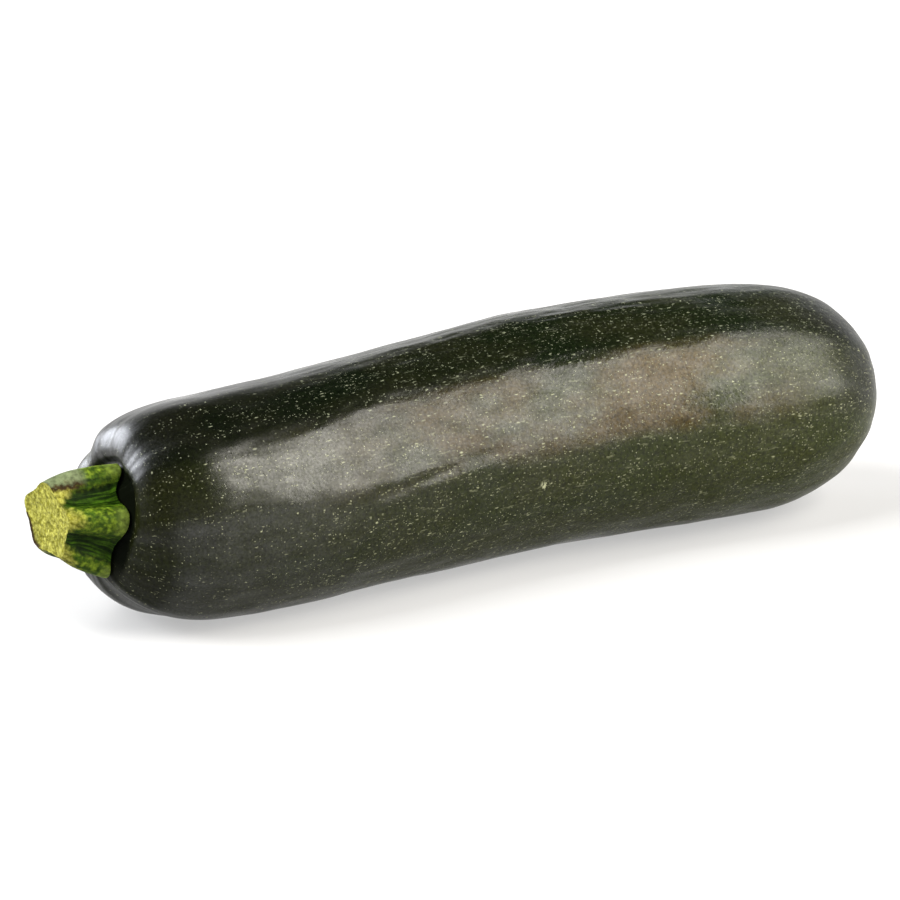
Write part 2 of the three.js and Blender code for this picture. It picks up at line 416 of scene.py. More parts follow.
lumps = relief_noise(t, grain, 0.03, 0.014, 1.0, 0.0007)
dents = relief_noise(t, grain, 0.011, 0.006, 1.0, 0.00022)
wrinkles = relief_noise(t, grain, 0.012, 0.0021, 2.0, 0.0004)
top_share = bell(t, turn, math.radians(88), math.radians(34))
middle_share = bell(t, distance, 0.1, 0.042)
wrinkle_share = add(t, "ShaderNodeMath", top_share, middle_share, operation="MULTIPLY")
wrinkle_share = add(t, "ShaderNodeMath", wrinkle_share, 0.8, 0.2, operation="MULTIPLY_ADD")
wrinkles = add(t, "ShaderNodeMath", wrinkles, wrinkle_share, operation="MULTIPLY")
# One long shallow dent climbs along the near flank. Its turns are in radians.
dent_start_turn = 3.26
dent_climb = -5.06
dent_half_width = 0.06
dent_middle = 0.071
dent_half_length = 0.018
dent_depth = 0.00022
dent_turn = add(t, "ShaderNodeMath", distance, dent_climb, dent_start_turn, operation="MULTIPLY_ADD")
long_dent = bell(t, turn, dent_turn, dent_half_width)
dent_reach = bell(t, distance, dent_middle, dent_half_length)
long_dent = add(t, "ShaderNodeMath", long_dent, dent_reach, operation="MULTIPLY")
long_dent = add(t, "ShaderNodeMath", long_dent, -dent_depth, operation="MULTIPLY")
relief = add(t, "ShaderNodeMath", lumps, dents, operation="ADD")
relief = add(t, "ShaderNodeMath", relief, long_dent, operation="ADD")
relief = add(t, "ShaderNodeMath", relief, wrinkles, operation="ADD")
relief = add(t, "ShaderNodeMath", relief, fade(t, radius, 0.004, 0.017), operation="MULTIPLY")

skin_point = add(t, "GeometryNodeGroup", node_tree=surface_tree)
for socket_name in fruit_sizes:
    t.links.new(size[socket_name], skin_point.inputs[socket_name])
for socket_name, value in {"Distance": distance, "Radius": radius, "Turn": turn, "Relief": relief}.items():
    t.links.new(value.outputs[0], skin_point.inputs[socket_name])


def keep(tree, geometry, name, kind, value):
    """Keeps a value on the mesh's points under a name, for the material to read."""
    return add(
        tree, "GeometryNodeStoreNamedAttribute", geometry, None, name, value, data_type=kind, domain="POINT"
    )


def bend_and_close(tree, geometry, point, material):
    """Moves a grid's points to their places, closes its seam and its poles, and gives it its material."""
    geometry = add(tree, "GeometryNodeSetPosition", geometry, None, point)
    geometry = add(tree, "GeometryNodeFlipFaces", geometry)
    geometry = add(tree, "GeometryNodeMergeByDistance", geometry, None, 0.000001)
    geometry = add(tree, "GeometryNodeSetShadeSmooth", geometry)
    geometry = add(tree, "GeometryNodeRealizeInstances", geometry)
    geometry = add(tree, "GeometryNodeSetMaterial", geometry, None, material)
    add(tree, "NodeGroupOutput", geometry)


# Masks for the scar, and for the painted shade in the cleft round the stalk, which is darkest on the near
# side.
at_blossom = add(t, "ShaderNodeMath", share, 0.5, operation="GREATER_THAN")
scar_mask = add(t, "ShaderNodeMath", fade(t, radius, 0.0066, 0.0052), at_blossom, operation="MULTIPLY")
at_stalk = add(t, "ShaderNodeMath", 1.0, at_blossom, operation="SUBTRACT")
cleft_shade_mask = add(t, "ShaderNodeMath", fade(t, radius, 0.0128, 0.0118), at_stalk, operation="MULTIPLY")
cleft_shade_side = add(t, "ShaderNodeVectorMath", grain, (0, -0.95, 0.3), operation="DOT_PRODUCT").outputs["Value"]
cleft_shade_strength = add(
    t, "ShaderNodeMapRange", cleft_shade_side, 0.1 * mean_radius, 0.75 * mean_radius, 0.15, 1.0
)
cleft_shade_mask = add(t, "ShaderNodeMath", cleft_shade_mask, cleft_shade_strength, operation="MULTIPLY")
skin_geometry = keep(t, grid, "grain", "FLOAT_VECTOR", grain)
skin_geometry = keep(t, skin_geometry, "scar", "FLOAT", scar_mask)
skin_geometry = keep(t, skin_geometry, "cleft", "FLOAT", cleft_shade_mask)
bend_and_close(t, skin_geometry, skin_point, size["Material"])


def grown(name, tree, sizes, material):
    """The plain mesh object that a geometry tree grows with these sizes."""
    piece = bpy.data.objects.new(name, bpy.data.meshes.new(name))
    bpy.context.collection.objects.link(piece)
    modifier = piece.modifiers.new("growth", "NODES")
    modifier.node_group = tree
    identifiers = {item.name: item.identifier for item in tree.interface.items_tree}
    for socket_name, value in sizes.items():
        modifier[identifiers[socket_name]] = value
    modifier[identifiers["Material"]] = material
    evaluated = piece.evaluated_get(bpy.context.evaluated_depsgraph_get())
    mesh = bpy.data.meshes.new_from_object(evaluated)
    piece.modifiers.clear()
    piece.data = mesh
    mesh.name = name
    return piece


# Courgette skin: a thin glossy wax over almost black green, olive on the flanks, with brown patches kept to
# the band where the soft box's sheen falls, partly a brown tone and partly a painted warm tint of that sheen.
# It is crowded with fine cream dots and short dashes, which are fewer beside the stalk, and painted shade
# darkens the cleft round the stalk and the top of the blossom end.
skin = bpy.data.materials.new("waxed_courgette_skin")
skin.use_nodes = True
t = skin.node_tree
t.nodes.clear()
olive = linear("#191d08")
top_green = linear("#060b03")
brown_and_sheen_warmth = linear("#2b220c")
flank_marks = linear("#84866a")
top_marks_with_painted_shade = linear("#6c705c")
cork_in_cracks = linear("#3a2e1c")
cork_between = linear("#93825f")
scar_rim = linear("#1c160c")
painted_cleft_shade = linear("#060804")
place = add(t, "ShaderNodeTexCoord").outputs["Object"]
grain = add(t, "ShaderNodeAttribute", attribute_name="grain").outputs["Vector"]
scar_mask = add(t, "ShaderNodeAttribute", attribute_name="scar").outputs["Fac"]
cleft_shade_mask = add(t, "ShaderNodeAttribute", attribute_name="cleft").outputs["Fac"]
grain_parts = add(t, "ShaderNodeSeparateXYZ", grain).outputs
along = grain_parts["X"]
upper_side = grain_parts["Z"]


def flecks(tree, vector, inner, outer, least, evenness):
    """Flecks of random size and strength, one for each unit cell of the coordinates at most. Least is
    the share of the cells that stay empty, and a high evenness makes most of them faint."""
    cells = add(tree, "ShaderNodeTexVoronoi", vector, 1.0)
    random = add(tree, "ShaderNodeSeparateColor", cells.outputs["Color"])
    reach = add(tree, "ShaderNodeMapRange", random.outputs["Green"], 0.0, 1.0, inner, outer)
    shape = add(tree, "ShaderNodeMapRange", cells.outputs["Distance"], reach, 0.04, 0.0, 1.0)
    strength = add(tree, "ShaderNodeMapRange", random.outputs["Red"], least, 1.0, 0.0, 1.0)
    strength = add(tree, "ShaderNodeMath", strength, evenness, operation="POWER")
    return add(tree, "ShaderNodeMath", shape, strength, operation="MULTIPLY")


# A small wobble of the coordinates makes the marks' outlines ragged.
wobble_size = 0.0009
raggedness = 0.00045
wobble = add(t, "ShaderNodeTexNoise", place, 1 / wobble_size, 1.0)
wobble = add(t, "ShaderNodeVectorMath", wobble.outputs["Color"], (0.5, 0.5, 0.5), operation="SUBTRACT")
wobble = add(t, "ShaderNodeVectorMath", wobble, named={"Scale": raggedness}, operation="SCALE")
rough_place = add(t, "ShaderNodeVectorMath", place, wobble, operation="ADD")
rough_grain = add(t, "ShaderNodeVectorMath", grain, wobble, operation="ADD")

# How many of the cells stay empty: more beside the stalk, where the marks stand in rows, and more or
# fewer from crowd to crowd. Places along the fruit are in metres from the stalk's end.
crowd_length, crowd_width = 0.012, 0.006
row_length, row_width = 0.05, 0.0022
most_empty = 0.95
crowding = add(t, "ShaderNodeTexNoise", stretch(t, grain, crowd_length, crowd_width), 1.0, 3.0)
crowding = add(t, "ShaderNodeMapRange", crowding, 0.35, 0.65, -0.16, 0.16)
emptiness = add(t, "ShaderNodeMapRange", along, 0.008, 0.07, 0.5, 0.14)
rows = add(t, "ShaderNodeTexNoise", stretch(t, grain, row_length, row_width), 1.0, 1.0)
rows = add(t, "ShaderNodeMapRange", rows, 0.38, 0.62, -0.28, 0.28)
rows = add(t, "ShaderNodeMath", rows, fade(t, along, 0.09, 0.03), operation="MULTIPLY")
emptiness = add(t, "ShaderNodeMath", emptiness, rows, operation="SUBTRACT")
emptiness = add(t, "ShaderNodeMath", emptiness, crowding, operation="SUBTRACT")
emptiness = add(t, "ShaderNodeMath", emptiness, most_empty, operation="MINIMUM")

# Fine dots, a few big ones, short dashes along the fruit, which are scarcer, and faint lines.
dot_spacing = 0.00052
big_dot_spacing = 0.002
dash_spacing, dash_row_spacing = 0.0016, 0.0006
line_length, line_width = 0.004, 0.0006
most_scarce = 0.97
line_strength = 0.25
dots = flecks(t, stretch(t, rough_place, dot_spacing, dot_spacing), 0.22, 0.42, emptiness, 2.3)
big_dots = flecks(t, stretch(t, rough_place, big_dot_spacing, big_dot_spacing), 0.08, 0.17, 0.5, 0.8)
scarceness = add(t, "ShaderNodeMath", emptiness, 0.3, operation="ADD")
scarceness = add(t, "ShaderNodeMath", scarceness, most_scarce, operation="MINIMUM")
dash_place = stretch(t, rough_grain, dash_spacing, dash_row_spacing)
dashes = flecks(t, dash_place, 0.2, 0.4, scarceness, 1.4)
lines = add(t, "ShaderNodeTexNoise", stretch(t, rough_grain, line_length, line_width), 1.0, 1.0)
lines = add(t, "ShaderNodeMath", fade(t, lines, 0.66, 0.82), fade(t, along, 0.03, 0.07), operation="MULTIPLY")
lines = add(t, "ShaderNodeMath", lines, line_strength, operation="MULTIPLY")
marks = add(t, "ShaderNodeMath", dots, big_dots, operation="MAXIMUM")
marks = add(t, "ShaderNodeMath", marks, dashes, operation="MAXIMUM")
marks = add(t, "ShaderNodeMath", marks, lines, operation="MAXIMUM")
# One pale scuff on the near flank, at this place on the grain.
scuff_place = (0.0945, -0.0244, -0.0021)
scuff_reach = 0.0014
scuff_grain_size = 0.0006
scuff = add(t, "ShaderNodeVectorMath", rough_grain, scuff_place, operation="DISTANCE")
scuff = fade(t, scuff.outputs["Value"], scuff_reach, 0.0004)
scuff_grain = add(t, "ShaderNodeTexNoise", place, 1 / scuff_grain_size, 2.0)
scuff = add(t, "ShaderNodeMath", scuff, fade(t, scuff_grain, 0.45, 0.6), operation="MULTIPLY")
marks = add(t, "ShaderNodeMath", marks, scuff, operation="MAXIMUM")

# The green of the skin: almost black on top, olive on the flanks and paler away from the stalk. Brown patches
# on the near flank are kept to the band where the soft box's sheen falls, partly a brown tone and partly a
# painted warm tint of that sheen. The upper side of the blossom end is darkened, which is painted shade.
patch_length, patch_width = 0.019, 0.01
mottle_size = 0.0007
patches = add(t, "ShaderNodeTexNoise", stretch(t, grain, patch_length, patch_width), 1.0, 5.0)
# The band of the near flank where the soft box's sheen falls, which the brown patches keep to.
sheen_band_side = (0, -0.857, 0.515)
sheen_band_share = add(t, "ShaderNodeVectorMath", grain, sheen_band_side, operation="DOT_PRODUCT")
sheen_band_share = fade(t, sheen_band_share.outputs["Value"], 0.9 * mean_radius, 0.975 * mean_radius)
sheen_band_share = add(t, "ShaderNodeMath", sheen_band_share, fade(t, along, 0.03, 0.075), operation="MULTIPLY")
sheen_band_share = add(t, "ShaderNodeMath", sheen_band_share, fade(t, along, 0.165, 0.135), operation="MULTIPLY")
sheen_band_share = add(t, "ShaderNodeMath", sheen_band_share, 0.92, 0.08, operation="MULTIPLY_ADD")
brown_and_sheen_share = fade(t, patches, 0.34, 0.62)
brown_and_sheen_share = add(t, "ShaderNodeMath", brown_and_sheen_share, sheen_band_share, operation="MULTIPLY")
green_share = fade(t, upper_side, 0.6 * mean_radius, 0.85 * mean_radius)
skin_colour = add(t, "ShaderNodeMix", green_share, olive, top_green, data_type="RGBA")
skin_colour = add(t, "ShaderNodeMix", brown_and_sheen_share, skin_colour, brown_and_sheen_warmth, data_type="RGBA")
paleness_and_end_shade = add(t, "ShaderNodeMapRange", along, 0.012, 0.14, 0.5, 1.45)
# The upper side of the blossom end is darkened, which is painted shade.
blossom_end_painted_shade = fade(t, upper_side, -0.2 * mean_radius, 0.25 * mean_radius)
blossom_end_painted_shade = add(t, "ShaderNodeMath", blossom_end_painted_shade, fade(t, along, 0.158, 0.176), operation="MULTIPLY")
blossom_end_painted_shade = add(t, "ShaderNodeMath", blossom_end_painted_shade, -0.7, 1.0, operation="MULTIPLY_ADD")
paleness_and_end_shade = add(t, "ShaderNodeMath", paleness_and_end_shade, blossom_end_painted_shade, operation="MULTIPLY")
skin_colour = add(t, "ShaderNodeVectorMath", skin_colour, named={"Scale": paleness_and_end_shade}, operation="SCALE")
fine_mottle = add(t, "ShaderNodeTexNoise", place, 1 / mottle_size, 2.0)
fine_mottle = add(t, "ShaderNodeMapRange", fine_mottle, 0.3, 0.7, 0.55, 1.45)
skin_colour = add(t, "ShaderNodeVectorMath", skin_colour, named={"Scale": fine_mottle}, operation="SCALE")
# The marks are darker on the upper side: painted shade that offsets the high lamp's light on top.
mark_colour = add(t, "ShaderNodeMix", green_share, flank_marks, top_marks_with_painted_shade, data_type="RGBA")
skin_colour = add(t, "ShaderNodeMix", marks, skin_colour, mark_colour, data_type="RGBA")
# The scar is dry cork, crazed from its middle outwards, with a dark edge.
cork_grain_size = 0.0012
ray_length, ray_width = 0.01, 0.003
cork = add(t, "ShaderNodeTexNoise", place, 1 / cork_grain_size, 3.0)
rays = add(t, "ShaderNodeTexNoise", stretch(t, grain, ray_length, ray_width), 1.0, 2.0)
cork = add(t, "ShaderNodeMath", cork, rays, operation="ADD")
cork = fade(t, cork, 0.75, 1.25)
cork = add(t, "ShaderNodeMix", cork, cork_in_cracks, cork_between, data_type="RGBA")
skin_colour = add(t, "ShaderNodeMix", scar_mask, skin_colour, cork, data_type="RGBA")
scar_edge = add(t, "ShaderNodeMath", 1.0, scar_mask, operation="SUBTRACT")
scar_edge = add(t, "ShaderNodeMath", scar_edge, scar_mask, operation="MULTIPLY")
scar_edge = add(t, "ShaderNodeMath", scar_edge, 3.2, operation="MULTIPLY")
skin_colour = add(t, "ShaderNodeMix", scar_edge, skin_colour, scar_rim, data_type="RGBA")
# The cleft round the stalk is painted almost black, which is painted shade.
skin_colour = add(t, "ShaderNodeMix", cleft_shade_mask, skin_colour, painted_cleft_shade, data_type="RGBA")

# The wax is smooth beside the stalk, where the skin puckers towards it, and finely pebbled from there
# on, with small pits.
pore_size = 0.001
pit_spacing = 0.0017
pucker_length, pucker_width = 0.05, 0.0065
pebbling = add(t, "ShaderNodeMapRange", along, 0.03, 0.08, 0.15, 0.7)
pores = add(t, "ShaderNodeTexNoise", place, 1 / pore_size, 3.0)
pore_bump = add(t, "ShaderNodeBump", named={"Strength": pebbling, "Distance": 0.0001, "Height": pores})
pits = flecks(t, stretch(t, rough_place, pit_spacing, pit_spacing), 0.1, 0.25, 0.4, 1.0)
mark_height = add(t, "ShaderNodeMath", marks, pits, operation="SUBTRACT")
puckers = add(t, "ShaderNodeTexNoise", stretch(t, grain, pucker_length, pucker_width), 1.0, 1.0)
pucker_fade = fade(t, along, 0.02, 0.004)
pucker_relief = {"Strength": pucker_fade, "Distance": 0.0008, "Height": puckers, "Normal": pore_bump}
pucker_bump = add(t, "ShaderNodeBump", named=pucker_relief)
mark_relief = {"Strength": 0.5, "Distance": 0.00006, "Height": mark_height, "Normal": pucker_bump}
mark_bump = add(t, "ShaderNodeBump", named=mark_relief)

# It is duller beside the stalk and towards the blossom end, and shines less on the underside and where
# the near shoulder has been rubbed. Fine grit and slow blotches break its shine up.
scar_roughness = 0.8
cleft_roughness = 0.7
cleft_shine = 0.05
blotch_length, blotch_width = 0.006, 0.0035
grit_size = 0.0005
rub_loss = 0.65
gloss = add(t, "ShaderNodeMapRange", patches, 0.3, 0.7, 0.2, 0.34)
dullness = add(t, "ShaderNodeMapRange", along, 0.012, 0.026, 0.1, 0.0)
gloss = add(t, "ShaderNodeMath", gloss, dullness, operation="ADD")
blossom_dullness = add(t, "ShaderNodeMapRange", along, 0.125, 0.175, 0.0, 0.07)
gloss = add(t, "ShaderNodeMath", gloss, blossom_dullness, operation="ADD")
gloss = add(t, "ShaderNodeMix", scar_mask, gloss, scar_roughness)
gloss = add(t, "ShaderNodeMix", cleft_shade_mask, gloss, cleft_roughness)
shine = add(t, "ShaderNodeMapRange", along, 0.03, 0.058, 0.67, 0.335)
blossom_shine = add(t, "ShaderNodeMapRange", along, 0.14, 0.175, 1.0, 0.6)
shine = add(t, "ShaderNodeMath", shine, blossom_shine, operation="MULTIPLY")
under_shine = add(t, "ShaderNodeMapRange", upper_side, -0.5 * mean_radius, 0.2 * mean_radius, 0.42, 1.0)
shine = add(t, "ShaderNodeMath", shine, under_shine, operation="MULTIPLY")
rubbed = fade(t, grain_parts["Y"], -0.2 * mean_radius, -0.6 * mean_radius)
rubbed = add(t, "ShaderNodeMath", rubbed, fade(t, along, 0.013, 0.008), operation="MULTIPLY")
rubbed = add(t, "ShaderNodeMath", rubbed, -rub_loss, 1.0, operation="MULTIPLY_ADD")
shine = add(t, "ShaderNodeMath", shine, rubbed, operation="MULTIPLY")
blotches = add(t, "ShaderNodeTexNoise", stretch(t, grain, blotch_length, blotch_width), 1.0, 5.0)
blotches = add(t, "ShaderNodeMapRange", blotches, 0.3, 0.7, 0.7, 1.3)
shine = add(t, "ShaderNodeMath", shine, blotches, operation="MULTIPLY")
grit = add(t, "ShaderNodeTexNoise", place, 1 / grit_size, 2.0)
grit = add(t, "ShaderNodeMapRange", grit, 0.3, 0.7, 0.7, 1.3)
shine = add(t, "ShaderNodeMath", shine, grit, operation="MULTIPLY")
# In the cleft it hardly shines, which goes with its painted shade.
shine = add(t, "ShaderNodeMix", cleft_shade_mask, shine, cleft_shine)
skin_shade = add(
    t,
    "ShaderNodeBsdfPrincipled",
    named={
        "Base Color": skin_colour,
        "Roughness": gloss,
        "IOR": 1.4,
        "Specular IOR Level": shine,
        "Normal": mark_bump,
    },
)
# Where the shine can't vary from place to place, this is its mean.
skin_shade.inputs["Specular IOR Level"].default_value = 0.3
add(t, "ShaderNodeOutputMaterial", skin_shade)

fruit = grown("courgette_skin", fruit_tree, fruit_sizes, skin)


def corners(mesh):
    """The lowest and the highest corner of a mesh."""
    points = numpy.empty(len(mesh.vertices) * 3, dtype=numpy.float32)
    mesh.vertices.foreach_get("co", points)
    points = points.reshape(-1, 3)
    return Vector(points.min(axis=0).tolist()), Vector(points.max(axis=0).tolist())


# The rule starts at the stalk end on the middle line. The frame's origin is under the middle.
low, high = corners(fruit.data)
frame_low, frame_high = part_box("fruit")
to_frame = (frame_low + frame_high - low - high) / 2
to_frame.z = 0
fruit.data.transform(Matrix.Translation(to_frame))
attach(fruit, "root")
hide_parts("fruit")


# The stub of the stalk, cut off with a knife a finger's breadth above the fruit.
# Tough green fibres in five ridges, with scooped grooves between, which flare to a lobed foot. It
# grows out of the seat on the fruit's shoulder.
stalk_sizes = {
    "Stalk Length": 0.0112,
    "Ridge Sharpness": 1.2,
    "Top Heaviness": 0.03,
    "Lean Far": -0.0006,
    "Lean Up": 0.0028,
    "Cut Slant": 0.2,
    "Cut Face Sink": 0.0003,
    "Seat Gap": 0.00035,
    "Edge Gap": 0.0008,
    "Scoop Depth": 0.0006,
    "Fibre Height": 0.00022,
    "Knob Height": 0.0003,
}
# From the foot to the cut, on the ridges and in the grooves.
crest_radii = [0.0116, 0.0114, 0.011, 0.0105, 0.0096, 0.008]
groove_radii = [0.0092, 0.0085, 0.0078, 0.0073, 0.007, 0.0068]
face_rings = 44
side_rings = 64
under_rings = 20
stalk_steps_round = 260
both_sizes = {**fruit_sizes, **stalk_sizes}
stalk_tree, size = tree_with_inputs("grow the stalk", both_sizes, {"Material": "NodeSocketMaterial"})
stalk_tree.interface.new_socket("Geometry", in_out="OUTPUT", socket_type="NodeSocketGeometry")
t = stalk_tree
size = size.outputs
side_end = face_rings + side_rings
ring_count = side_end + under_rings
grid, ring_number, turn = grid_of_rings(t, ring_count, stalk_steps_round)
cosine = add(t, "ShaderNodeMath", turn, operation="COSINE")
sine = add(t, "ShaderNodeMath", turn, operation="SINE")
face_share = add(t, "ShaderNodeMapRange", ring_number, 0.0, face_rings, 0.0, 1.0)
share = add(t, "ShaderNodeMapRange", ring_number, side_end, face_rings, 0.0, 1.0)
under_share = add(t, "ShaderNodeMapRange", ring_number, side_end, ring_count, 1.0, 0.0)

ridge_phase = add(t, "ShaderNodeMath", turn, size["Ridge Turn"], operation="SUBTRACT")
ridge_phase = add(t, "ShaderNodeMath", ridge_phase, crease_count, operation="MULTIPLY")
crest = add(t, "ShaderNodeMath", ridge_phase, operation="COSINE")
crest = add(t, "ShaderNodeMath", crest, 0.5, 0.5, operation="MULTIPLY_ADD")
ridge = add(t, "ShaderNodeMath", crest, size["Ridge Sharpness"], operation="POWER")
hollow = add(t, "ShaderNodeMath", 1.0, crest, operation="SUBTRACT")


def between(tree, low, high, share):
    """A value this share of the way from the low one to the high one."""
    return add(tree, "ShaderNodeMix", share, low, high, clamp_factor=False)


# Fibres run along the grooves, and knobs sit on the ridges.
stalk_grain_x = add(t, "ShaderNodeMath", share, size["Stalk Length"], operation="MULTIPLY")
grain_reach = add(t, "ShaderNodeMath", groove_radii[2], face_share, operation="MULTIPLY")
grain_reach = add(t, "ShaderNodeMath", grain_reach, under_share, operation="MULTIPLY")
grain_y = add(t, "ShaderNodeMath", cosine, grain_reach, operation="MULTIPLY")
grain_z = add(t, "ShaderNodeMath", sine, grain_reach, operation="MULTIPLY")
grain = add(t, "ShaderNodeCombineXYZ", stalk_grain_x, grain_y, grain_z)
fibres = relief_noise(t, grain, 0.012, 0.0008, 1.0, 0.5)
fibres = add(t, "ShaderNodeMath", fibres, hollow, operation="MULTIPLY")
fibres = add(t, "ShaderNodeMath", fibres, size["Fibre Height"], operation="MULTIPLY")
knobs = relief_noise(t, grain, 0.003, 0.0018, 2.0, 0.5)
knobs = add(t, "ShaderNodeMath", knobs, size["Knob Height"], operation="MULTIPLY")
scoop_end = fade(t, share, 0.92, 0.7)
scoops = add(t, "ShaderNodeMath", fade(t, hollow, 0.35, 0.8), scoop_end, operation="MULTIPLY")
scoops = add(t, "ShaderNodeMath", scoops, size["Scoop Depth"], operation="MULTIPLY")
carving = add(t, "ShaderNodeMath", fibres, knobs, operation="ADD")
carving = add(t, "ShaderNodeMath", carving, scoops, operation="SUBTRACT")
foot_fade = fade(t, share, 0.0, 0.12)
carving = add(t, "ShaderNodeMath", carving, foot_fade, operation="MULTIPLY")

# The edge of the foot, on the skin of the shoulder, and the way in under it.
heaviness = add(t, "ShaderNodeMath", sine, size["Top Heaviness"], 1.0, operation="MULTIPLY_ADD")
foot_radius = between(t, groove_radii[0], crest_radii[0], ridge)
foot_radius = add(t, "ShaderNodeMath", foot_radius, heaviness, operation="MULTIPLY")
foot_radius = add(t, "ShaderNodeMath", foot_radius, under_share, operation="MULTIPLY")
plain = add(t, "ShaderNodeMath", foot_radius, body_radii[0], operation="DIVIDE")
plain = add(t, "ShaderNodeMath", plain, size["Shoulder Fullness"], operation="POWER")
plain = add(t, "ShaderNodeMath", 1.0, plain, operation="SUBTRACT")
root = add(t, "ShaderNodeMath", 1.0, size["Shoulder Fullness"], operation="DIVIDE")
plain = add(t, "ShaderNodeMath", plain, root, operation="POWER")
plain = add(t, "ShaderNodeMath", 1.0, plain, operation="SUBTRACT")
foot_distance = add(t, "ShaderNodeMath", plain, size["Shoulder Length"], operation="MULTIPLY")


def on_skin(tree, distance, radius, turn):
    """The point of the fruit's skin at this place, without its lumps."""
    node = add(tree, "GeometryNodeGroup", node_tree=surface_tree)
    for socket_name in fruit_sizes:
        tree.links.new(size[socket_name], node.inputs[socket_name])
    for socket_name, value in {"Distance": distance, "Radius": radius, "Turn": turn}.items():
        if value is not None:
            tree.links.new(value.outputs[0], node.inputs[socket_name])
    return add(tree, "ShaderNodeSeparateXYZ", node)


foot = on_skin(t, foot_distance, foot_radius, turn)
foot_centre = on_skin(t, None, None, None)
gap = between(t, size["Seat Gap"], size["Edge Gap"], fade(t, under_share, 0.6, 1.0))
foot_x = add(t, "ShaderNodeMath", foot.outputs["X"], gap, operation="SUBTRACT")
foot_point = add(t, "ShaderNodeCombineXYZ", foot_x, foot.outputs["Y"], foot.outputs["Z"])

groove_radius = station_curve(t, groove_radii, share)
crest_radius = station_curve(t, crest_radii, share)
side_radius = between(t, groove_radius, crest_radius, ridge)
side_radius = add(t, "ShaderNodeMath", side_radius, heaviness, operation="MULTIPLY")
side_radius = add(t, "ShaderNodeMath", side_radius, carving, operation="ADD")
side_radius = add(t, "ShaderNodeMath", side_radius, face_share, operation="MULTIPLY")
side_across = add(t, "ShaderNodeMath", side_radius, cosine, operation="MULTIPLY")
sink = add(t, "ShaderNodeMath", face_share, 4, operation="POWER")
sink = add(t, "ShaderNodeMath", 1.0, sink, operation="SUBTRACT")
sink = add(t, "ShaderNodeMath", sink, size["Cut Face Sink"], operation="MULTIPLY")
face_place = add(t, "ShaderNodeCombineXYZ", 0.0, grain_y, grain_z)
face_relief = relief_noise(t, face_place, 0.001, 0.0013, 3.0, 0.00022)
sink = add(t, "ShaderNodeMath", sink, face_relief, operation="ADD")
cut_x = add(t, "ShaderNodeMath", size["Seat Depth"], size["Stalk Length"], operation="SUBTRACT")
slant = add(t, "ShaderNodeMath", side_across, size["Cut Slant"], operation="MULTIPLY")
cut_x = add(t, "ShaderNodeMath", cut_x, slant, operation="SUBTRACT")
cut_x = add(t, "ShaderNodeMath", cut_x, sink, operation="ADD")
side_x = between(t, foot_x, cut_x, share)
side_y = add(t, "ShaderNodeMath", share, size["Lean Far"], side_across, operation="MULTIPLY_ADD")
side_y = add(t, "ShaderNodeMath", side_y, foot_centre.outputs["Y"], operation="ADD")
side_z = add(t, "ShaderNodeMath", side_radius, sine, foot_centre.outputs["Z"], operation="MULTIPLY_ADD")
side_z = add(t, "ShaderNodeMath", share, size["Lean Up"], side_z, operation="MULTIPLY_ADD")
side_point = add(t, "ShaderNodeCombineXYZ", side_x, side_y, side_z)
is_side = add(t, "ShaderNodeMath", under_share, 0.9999, operation="GREATER_THAN")
stalk_point = add(t, "ShaderNodeMix", is_side, foot_point, side_point, data_type="VECTOR")

stalk_geometry = keep(t, grid, "grain", "FLOAT_VECTOR", grain)
stalk_geometry = keep(t, stalk_geometry, "crest", "FLOAT", crest)
stalk_geometry = keep(t, stalk_geometry, "share", "FLOAT", share)
stalk_geometry = keep(t, stalk_geometry, "reach", "FLOAT", face_share)
stalk_geometry = keep(t, stalk_geometry, "turn", "FLOAT", turn)
bend_and_close(t, stalk_geometry, stalk_point, size["Material"])

# Fibrous stalk: matt, dark green in the grooves and pale on the ridges, with a moist, grainy, yellow
# green cut whose rim has dried brown along the top.
fibre = bpy.data.materials.new("fibrous_green_stalk")
fibre.use_nodes = True
t = fibre.node_tree
t.nodes.clear()
groove_dark = linear("#0b1902")
groove_pale = linear("#283f08")
ridge_dark = linear("#24360a")
ridge_pale = linear("#566719")
lobe_pale = linear("#606e30")
cut_dark = linear("#605e19")
cut_pale = linear("#8f8d42")
weathered_grey = linear("#525a40")
dried_brown = linear("#2a1e0d")
thread_length, thread_width = 0.006, 0.00045
knob_size = 0.0012
cut_grain_size = 0.0007
flesh_grain_size = 0.0009
place = add(t, "ShaderNodeTexCoord").outputs["Object"]
grain = add(t, "ShaderNodeAttribute", attribute_name="grain").outputs["Vector"]
crest = add(t, "ShaderNodeAttribute", attribute_name="crest").outputs["Fac"]
share = add(t, "ShaderNodeAttribute", attribute_name="share").outputs["Fac"]
reach = add(t, "ShaderNodeAttribute", attribute_name="reach").outputs["Fac"]
face = fade(t, reach, 0.999, 0.985)
turn = add(t, "ShaderNodeAttribute", attribute_name="turn").outputs["Fac"]
threads = add(t, "ShaderNodeTexNoise", stretch(t, grain, thread_length, thread_width), 1.0, 3.0)
mottle = add(t, "ShaderNodeTexNoise", place, 1 / knob_size, 4.0)
mottle_swing = add(t, "ShaderNodeMath", mottle, 0.5, operation="SUBTRACT")
crest_mix = add(t, "ShaderNodeMath", mottle_swing, 0.9, crest, operation="MULTIPLY_ADD")
crest_mix = fade(t, crest_mix, 0.25, 0.95)
thread_mix = fade(t, threads, 0.42, 0.7)
groove_colour = add(t, "ShaderNodeMix", thread_mix, groove_dark, groove_pale, data_type="RGBA")
knob_mix = fade(t, mottle, 0.35, 0.7)
crest_colour = add(t, "ShaderNodeMix", knob_mix, ridge_dark, ridge_pale, data_type="RGBA")
stalk_colour = add(t, "ShaderNodeMix", crest_mix, groove_colour, crest_colour, data_type="RGBA")
